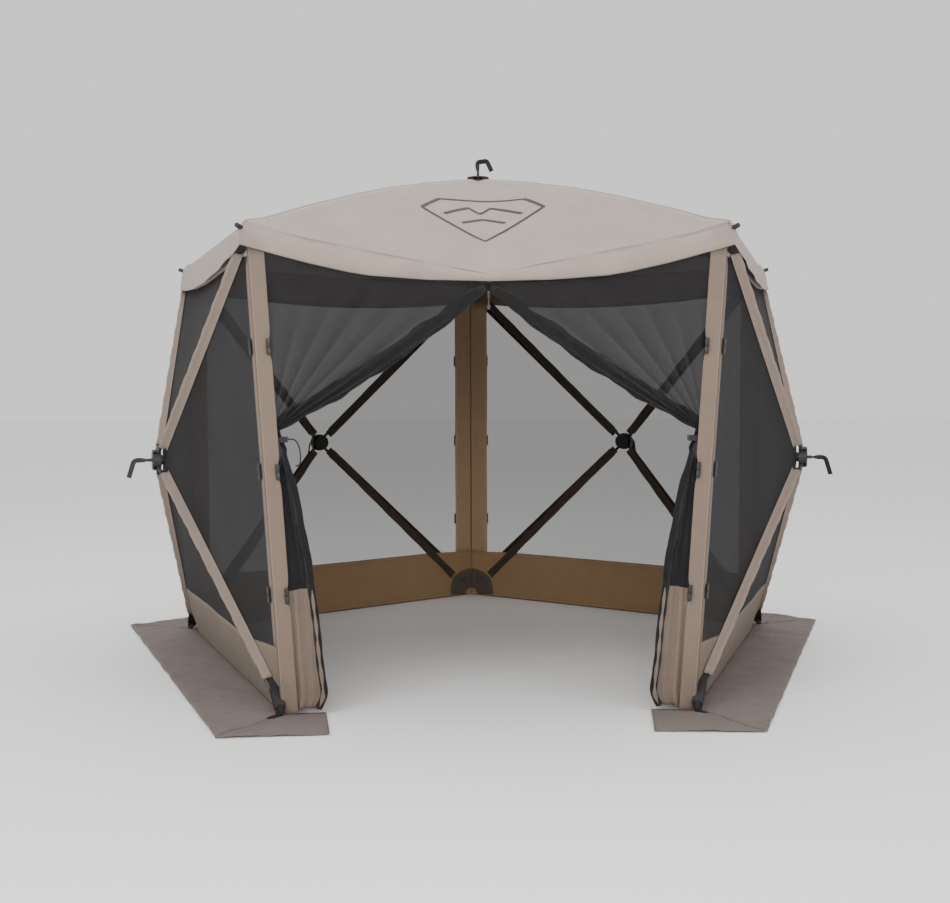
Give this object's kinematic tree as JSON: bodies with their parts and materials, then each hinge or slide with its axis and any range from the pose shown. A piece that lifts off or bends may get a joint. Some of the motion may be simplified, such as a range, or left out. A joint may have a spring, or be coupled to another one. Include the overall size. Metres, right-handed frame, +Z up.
{
  "type": "pop-up screen shelter",
  "caption": "Free-standing five-sided pop-up screen shelter with a domed cloth roof, mesh walls on sprung hub-and-pole frames, a ground skirt and a zipped door tied open.",
  "frame": {"origin": "on the ground under the middle of the whole footprint, skirt included", "axes": "+Z up; the door faces -Y; +X is to the right of someone looking in through the door"},
  "size_m": [3.4698, 3.3002, 2.2138],
  "materials": {
    "moulding": "satin",
    "pole": "satin",
    "pin_steel": "brushed",
    "webbing": "matte",
    "wall_mesh": "matte",
    "door_mesh": "matte",
    "roof_cloth": "matte",
    "skirt_cloth": "matte",
    "band_cloth": "matte",
    "patch_cloth": "matte",
    "toggle_plastic": "satin",
    "zip_metal": "satin"
  },
  "bodies": {
    "root": {"back_left_wall": "wall_mesh", "back_right_wall": "wall_mesh", "bottom_corner_fittings": "moulding", "corner_bands": "band_cloth", "corner_patches": "patch_cloth", "corner_toggles": "toggle_plastic", "door_left": "door_mesh", "door_right": "door_mesh", "door_ties": "webbing", "door_zip_slider": "zip_metal", "ground_skirt": "skirt_cloth", "left_wall": "wall_mesh", "right_wall": "wall_mesh", "roof_canopy": "roof_cloth", "top_corner_fittings": "moulding"},
    "left_hub": {"left_hub": "moulding", "left_hub_pins": "pin_steel", "left_hub_cap": "moulding"},
    "right_hub": {"right_hub": "moulding", "right_hub_pins": "pin_steel", "right_hub_cap": "moulding"},
    "back_left_hub": {"back_left_hub": "moulding", "back_left_hub_pins": "pin_steel", "back_left_hub_cap": "moulding"},
    "back_right_hub": {"back_right_hub": "moulding", "back_right_hub_pins": "pin_steel", "back_right_hub_cap": "moulding"},
    "roof_hub": {"roof_hub": "moulding", "roof_hub_pins": "pin_steel", "roof_hub_cap": "moulding"},
    "left_pole_top_back": {"left_pole_top_back": "pole"},
    "left_pole_bottom_back": {"left_pole_bottom_back": "pole"},
    "left_pole_top_front": {"left_pole_top_front": "pole"},
    "left_pole_bottom_front": {"left_pole_bottom_front": "pole"},
    "left_pull_strap": {"left_pull_strap": "webbing"},
    "right_pole_top_front": {"right_pole_top_front": "pole"},
    "right_pole_bottom_front": {"right_pole_bottom_front": "pole"},
    "right_pole_top_back": {"right_pole_top_back": "pole"},
    "right_pole_bottom_back": {"right_pole_bottom_back": "pole"},
    "right_pull_strap": {"right_pull_strap": "webbing"},
    "back_left_pole_top_inner": {"back_left_pole_top_inner": "pole"},
    "back_left_pole_bottom_inner": {"back_left_pole_bottom_inner": "pole"},
    "back_left_pole_top_outer": {"back_left_pole_top_outer": "pole"},
    "back_left_pole_bottom_outer": {"back_left_pole_bottom_outer": "pole"},
    "back_left_pull_strap": {"back_left_pull_strap": "webbing"},
    "back_right_pole_top_outer": {"back_right_pole_top_outer": "pole"},
    "back_right_pole_bottom_outer": {"back_right_pole_bottom_outer": "pole"},
    "back_right_pole_top_inner": {"back_right_pole_top_inner": "pole"},
    "back_right_pole_bottom_inner": {"back_right_pole_bottom_inner": "pole"},
    "back_right_pull_strap": {"back_right_pull_strap": "webbing"},
    "roof_pole_front_left": {"roof_pole_front_left": "pole"},
    "roof_pole_front_right": {"roof_pole_front_right": "pole"},
    "roof_pole_right": {"roof_pole_right": "pole"},
    "roof_pole_back": {"roof_pole_back": "pole"},
    "roof_pole_left": {"roof_pole_left": "pole"},
    "roof_pull_strap": {"roof_pull_strap": "webbing"},
    "door_zip_pull": {"door_zip_pull": "zip_metal"}
  },
  "joints": [
    {"name": "left_hub_pop", "type": "slide", "parent": "root", "child": "left_hub", "axis": [0.9511, 0.309, 0], "range_m": [0, 0.468], "deforming": ["left_wall", "corner_bands", "corner_patches", "corner_toggles"]},
    {"name": "right_hub_pop", "type": "slide", "parent": "root", "child": "right_hub", "axis": [-0.9511, 0.309, 0], "range_m": [0, 0.468], "deforming": ["right_wall", "corner_bands", "corner_patches", "corner_toggles"]},
    {"name": "back_left_hub_pop", "type": "slide", "parent": "root", "child": "back_left_hub", "axis": [0.5878, -0.809, 0], "range_m": [0, 0.468], "deforming": ["back_left_wall", "corner_bands", "corner_patches", "corner_toggles"]},
    {"name": "back_right_hub_pop", "type": "slide", "parent": "root", "child": "back_right_hub", "axis": [-0.5878, -0.809, 0], "range_m": [0, 0.468], "deforming": ["back_right_wall", "corner_bands", "corner_patches", "corner_toggles"]},
    {"name": "roof_hub_pop", "type": "slide", "parent": "root", "child": "roof_hub", "axis": [0, 0, -1], "range_m": [0, 0.66], "deforming": ["roof_canopy"]},
    {"name": "left_pole_top_back_fold", "type": "hinge", "parent": "left_hub", "child": "left_pole_top_back", "pos_m": [-1.36787, -0.59642, 0.91413], "axis": [0.2176, -0.6698, 0.7099], "range_deg": [-1, 23.15]},
    {"name": "left_pole_bottom_back_fold", "type": "hinge", "parent": "left_hub", "child": "left_pole_bottom_back", "pos_m": [-1.36787, -0.59642, 0.87187], "axis": [-0.2176, 0.6698, 0.7099], "range_deg": [-1, 23.15]},
    {"name": "left_pole_top_front_fold", "type": "hinge", "parent": "left_hub", "child": "left_pole_top_front", "pos_m": [-1.35471, -0.63693, 0.91413], "axis": [0.2176, -0.6698, -0.7099], "range_deg": [-1, 23.15]},
    {"name": "left_pole_bottom_front_fold", "type": "hinge", "parent": "left_hub", "child": "left_pole_bottom_front", "pos_m": [-1.35459, -0.63731, 0.87228], "axis": [-0.2134, 0.6569, -0.7232], "range_deg": [-1, 22.58]},
    {"name": "left_strap_swing", "type": "hinge", "parent": "left_hub", "child": "left_pull_strap", "pos_m": [-1.39363, -0.62718, 0.893], "axis": [0.309, -0.9511, 0], "range_deg": [-80, 25]},
    {"name": "right_pole_top_front_fold", "type": "hinge", "parent": "right_hub", "child": "right_pole_top_front", "pos_m": [1.35471, -0.63693, 0.91413], "axis": [0.2176, 0.6698, 0.7099], "range_deg": [-1, 23.15]},
    {"name": "right_pole_bottom_front_fold", "type": "hinge", "parent": "right_hub", "child": "right_pole_bottom_front", "pos_m": [1.35459, -0.63731, 0.87228], "axis": [-0.2134, -0.6569, 0.7232], "range_deg": [-1, 22.58]},
    {"name": "right_pole_top_back_fold", "type": "hinge", "parent": "right_hub", "child": "right_pole_top_back", "pos_m": [1.36787, -0.59642, 0.91413], "axis": [0.2176, 0.6698, -0.7099], "range_deg": [-1, 23.15]},
    {"name": "right_pole_bottom_back_fold", "type": "hinge", "parent": "right_hub", "child": "right_pole_bottom_back", "pos_m": [1.36787, -0.59642, 0.87187], "axis": [-0.2176, -0.6698, -0.7099], "range_deg": [-1, 23.15]},
    {"name": "right_strap_swing", "type": "hinge", "parent": "right_hub", "child": "right_pull_strap", "pos_m": [1.39363, -0.62718, 0.893], "axis": [0.309, 0.9511, 0], "range_deg": [-80, 25]},
    {"name": "back_left_pole_top_inner_fold", "type": "hinge", "parent": "back_left_hub", "child": "back_left_pole_top_inner", "pos_m": [-0.82409, 0.99613, 0.91413], "axis": [-0.5698, -0.414, 0.7099], "range_deg": [-1, 23.15]},
    {"name": "back_left_pole_bottom_inner_fold", "type": "hinge", "parent": "back_left_hub", "child": "back_left_pole_bottom_inner", "pos_m": [-0.82409, 0.99613, 0.87187], "axis": [0.5698, 0.414, 0.7099], "range_deg": [-1, 23.15]},
    {"name": "back_left_pole_top_outer_fold", "type": "hinge", "parent": "back_left_hub", "child": "back_left_pole_top_outer", "pos_m": [-0.85855, 0.9711, 0.91413], "axis": [-0.5698, -0.414, -0.7099], "range_deg": [-1, 23.15]},
    {"name": "back_left_pole_bottom_outer_fold", "type": "hinge", "parent": "back_left_hub", "child": "back_left_pole_bottom_outer", "pos_m": [-0.85855, 0.9711, 0.87187], "axis": [0.5698, 0.414, -0.7099], "range_deg": [-1, 23.15]},
    {"name": "back_left_strap_swing", "type": "hinge", "parent": "back_left_hub", "child": "back_left_pull_strap", "pos_m": [-0.86131, 1.01112, 0.893], "axis": [-0.809, -0.5878, 0], "range_deg": [-80, 25]},
    {"name": "back_right_pole_top_outer_fold", "type": "hinge", "parent": "back_right_hub", "child": "back_right_pole_top_outer", "pos_m": [0.85855, 0.9711, 0.91413], "axis": [-0.5698, 0.414, 0.7099], "range_deg": [-1, 23.15]},
    {"name": "back_right_pole_bottom_outer_fold", "type": "hinge", "parent": "back_right_hub", "child": "back_right_pole_bottom_outer", "pos_m": [0.85855, 0.9711, 0.87187], "axis": [0.5698, -0.414, 0.7099], "range_deg": [-1, 23.15]},
    {"name": "back_right_pole_top_inner_fold", "type": "hinge", "parent": "back_right_hub", "child": "back_right_pole_top_inner", "pos_m": [0.82409, 0.99613, 0.91413], "axis": [-0.5698, 0.414, -0.7099], "range_deg": [-1, 23.15]},
    {"name": "back_right_pole_bottom_inner_fold", "type": "hinge", "parent": "back_right_hub", "child": "back_right_pole_bottom_inner", "pos_m": [0.82409, 0.99613, 0.87187], "axis": [0.5698, -0.414, -0.7099], "range_deg": [-1, 23.15]},
    {"name": "back_right_strap_swing", "type": "hinge", "parent": "back_right_hub", "child": "back_right_pull_strap", "pos_m": [0.86131, 1.01112, 0.893], "axis": [-0.809, 0.5878, 0], "range_deg": [-80, 25]},
    {"name": "roof_pole_front_left_fold", "type": "hinge", "parent": "roof_hub", "child": "roof_pole_front_left", "pos_m": [-0.02821, -0.2132, 2.086], "axis": [-0.809, 0.5878, 0], "range_deg": [-1, 26.95]},
    {"name": "roof_pole_front_right_fold", "type": "hinge", "parent": "roof_hub", "child": "roof_pole_front_right", "pos_m": [0.02821, -0.2132, 2.086], "axis": [-0.809, -0.5878, 0], "range_deg": [-1, 26.95]},
    {"name": "roof_pole_right_fold", "type": "hinge", "parent": "roof_hub", "child": "roof_pole_right", "pos_m": [0.04565, -0.15954, 2.086], "axis": [0.309, -0.9511, 0], "range_deg": [-1, 26.95]},
    {"name": "roof_pole_back_fold", "type": "hinge", "parent": "roof_hub", "child": "roof_pole_back", "pos_m": [0, -0.12637, 2.086], "axis": [1, 0, 0], "range_deg": [-1, 26.95]},
    {"name": "roof_pole_left_fold", "type": "hinge", "parent": "roof_hub", "child": "roof_pole_left", "pos_m": [-0.04565, -0.15954, 2.086], "axis": [0.309, 0.9511, 0], "range_deg": [-1, 26.95]},
    {"name": "roof_strap_swing", "type": "hinge", "parent": "roof_hub", "child": "roof_pull_strap", "pos_m": [0, -0.17437, 2.153], "axis": [0, 1, 0], "range_deg": [-85, 35]},
    {"name": "zip_pull_flip", "type": "hinge", "parent": "root", "child": "door_zip_pull", "pos_m": [0, -1.37471, 1.528], "axis": [1, 0, 0], "range_deg": [-120, 0]}
  ],
  "couplings": [
    {"joint": "left_pole_top_back_fold", "follows": "left_hub_pop", "rad_per_m": 0.82611},
    {"joint": "left_pole_bottom_back_fold", "follows": "left_hub_pop", "rad_per_m": 0.82611},
    {"joint": "left_pole_top_front_fold", "follows": "left_hub_pop", "rad_per_m": 0.82611},
    {"joint": "left_pole_bottom_front_fold", "follows": "left_hub_pop", "rad_per_m": 0.80465},
    {"joint": "right_pole_top_front_fold", "follows": "right_hub_pop", "rad_per_m": 0.82611},
    {"joint": "right_pole_bottom_front_fold", "follows": "right_hub_pop", "rad_per_m": 0.80465},
    {"joint": "right_pole_top_back_fold", "follows": "right_hub_pop", "rad_per_m": 0.82611},
    {"joint": "right_pole_bottom_back_fold", "follows": "right_hub_pop", "rad_per_m": 0.82611},
    {"joint": "back_left_pole_top_inner_fold", "follows": "back_left_hub_pop", "rad_per_m": 0.82611},
    {"joint": "back_left_pole_bottom_inner_fold", "follows": "back_left_hub_pop", "rad_per_m": 0.82611},
    {"joint": "back_left_pole_top_outer_fold", "follows": "back_left_hub_pop", "rad_per_m": 0.82611},
    {"joint": "back_left_pole_bottom_outer_fold", "follows": "back_left_hub_pop", "rad_per_m": 0.82611},
    {"joint": "back_right_pole_top_outer_fold", "follows": "back_right_hub_pop", "rad_per_m": 0.82611},
    {"joint": "back_right_pole_bottom_outer_fold", "follows": "back_right_hub_pop", "rad_per_m": 0.82611},
    {"joint": "back_right_pole_top_inner_fold", "follows": "back_right_hub_pop", "rad_per_m": 0.82611},
    {"joint": "back_right_pole_bottom_inner_fold", "follows": "back_right_hub_pop", "rad_per_m": 0.82611},
    {"joint": "roof_pole_front_left_fold", "follows": "roof_hub_pop", "rad_per_m": 0.68634},
    {"joint": "roof_pole_front_right_fold", "follows": "roof_hub_pop", "rad_per_m": 0.68634},
    {"joint": "roof_pole_right_fold", "follows": "roof_hub_pop", "rad_per_m": 0.68634},
    {"joint": "roof_pole_back_fold", "follows": "roof_hub_pop", "rad_per_m": 0.68634},
    {"joint": "roof_pole_left_fold", "follows": "roof_hub_pop", "rad_per_m": 0.68634}
  ]
}
